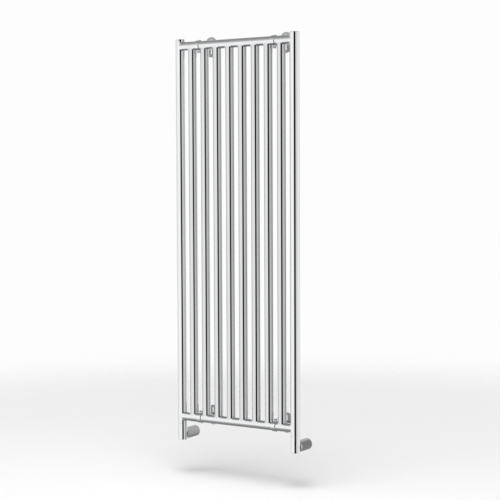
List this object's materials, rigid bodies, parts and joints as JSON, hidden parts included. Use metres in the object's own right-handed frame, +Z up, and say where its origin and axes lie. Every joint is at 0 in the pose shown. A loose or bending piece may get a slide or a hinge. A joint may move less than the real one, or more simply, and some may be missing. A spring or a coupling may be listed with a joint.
{
  "type": "wall radiator with angle valves",
  "caption": "Tall wall-hung chrome radiator: upright tubes between headers and posts, clamp wall brackets, and an angle valve under each post.",
  "frame": {"origin": "on the wall's face, at the centre of the four round fixing holes", "axes": "+X to the right as seen from the room, +Y into the wall, +Z up"},
  "size_m": [0.644, 0.123, 1.815],
  "materials": {
    "chrome_tube": "mirror polished",
    "chrome_fitting": "polished",
    "brushed_steel": "satin",
    "brass": "machined",
    "black_rubber": "matt"
  },
  "bodies": {
    "radiator": {"left_post": "chrome_tube", "right_post": "chrome_tube", "top_header": "chrome_tube", "bottom_header": "chrome_tube", "vertical_tube_1": "chrome_tube", "vertical_tube_2": "chrome_tube", "vertical_tube_3": "chrome_tube", "vertical_tube_4": "chrome_tube", "vertical_tube_5": "chrome_tube", "vertical_tube_6": "chrome_tube", "vertical_tube_7": "chrome_tube", "vertical_tube_8": "chrome_tube", "right_post_cap": "chrome_tube", "left_vent_cap": "chrome_fitting", "post_bushes": "brushed_steel", "top_left_wall_pad": "black_rubber", "top_left_wall_plate": "brushed_steel", "top_left_arm": "brushed_steel", "top_left_clamp_rear": "chrome_fitting", "top_left_clamp_front": "chrome_fitting", "top_right_wall_pad": "black_rubber", "top_right_wall_plate": "brushed_steel", "top_right_arm": "brushed_steel", "top_right_clamp_rear": "chrome_fitting", "top_right_clamp_front": "chrome_fitting", "bottom_left_wall_pad": "black_rubber", "bottom_left_wall_plate": "brushed_steel", "bottom_left_arm": "brushed_steel", "bottom_left_clamp_rear": "chrome_fitting", "bottom_left_clamp_front": "chrome_fitting", "bottom_right_wall_pad": "black_rubber", "bottom_right_wall_plate": "brushed_steel", "bottom_right_arm": "brushed_steel", "bottom_right_clamp_rear": "chrome_fitting", "bottom_right_clamp_front": "chrome_fitting", "clamp_screws": "brushed_steel", "left_valve_body": "chrome_fitting", "left_bonnet": "brass", "left_leg_cover": "brushed_steel", "left_compression_nut": "brass", "right_valve_body": "chrome_fitting", "right_bonnet": "brass", "right_leg_cover": "brushed_steel", "right_compression_nut": "brass", "tailpieces": "brass", "seam_washers": "black_rubber", "olives": "brass"},
    "hand_knob": {"valve_knob": "chrome_fitting"},
    "left_stem_slider": {"left_stem": "brass", "left_stem_washer": "black_rubber"},
    "lockshield_cover": {"lockshield_cap": "chrome_fitting"},
    "lockshield_hexagon": {"lockshield_driver": "brass"},
    "right_stem_slider": {"right_stem": "brass", "right_stem_washer": "black_rubber"},
    "vent_screw": {"bleed_screw": "brass"}
  },
  "joints": [
    {"name": "hand_knob_turn", "type": "hinge", "parent": "radiator", "child": "hand_knob", "pos_m": [-0.297, -0.1, -0.937], "axis": [0, 0, -1], "range_deg": [0, 720]},
    {"name": "left_stem_slide", "type": "slide", "parent": "radiator", "child": "left_stem_slider", "axis": [0, 0, -1], "range_m": [0, 0.003]},
    {"name": "lockshield_cap_pull", "type": "slide", "parent": "radiator", "child": "lockshield_cover", "axis": [0, 0, -1], "range_m": [0, 0.03]},
    {"name": "lockshield_turn", "type": "hinge", "parent": "radiator", "child": "lockshield_hexagon", "pos_m": [0.297, -0.1, -0.937], "axis": [0, 0, -1], "range_deg": [0, 720]},
    {"name": "right_stem_slide", "type": "slide", "parent": "radiator", "child": "right_stem_slider", "axis": [0, 0, -1], "range_m": [0, 0.003]},
    {"name": "bleed_screw_turn", "type": "hinge", "parent": "radiator", "child": "vent_screw", "pos_m": [-0.297, -0.1, 0.857], "axis": [0.342, -0.9397, 0], "range_deg": [0, 360]}
  ],
  "couplings": [
    {"joint": "left_stem_slide", "follows": "hand_knob_turn", "m_per_rad": 0.00023873},
    {"joint": "right_stem_slide", "follows": "lockshield_turn", "m_per_rad": 0.00023873}
  ]
}
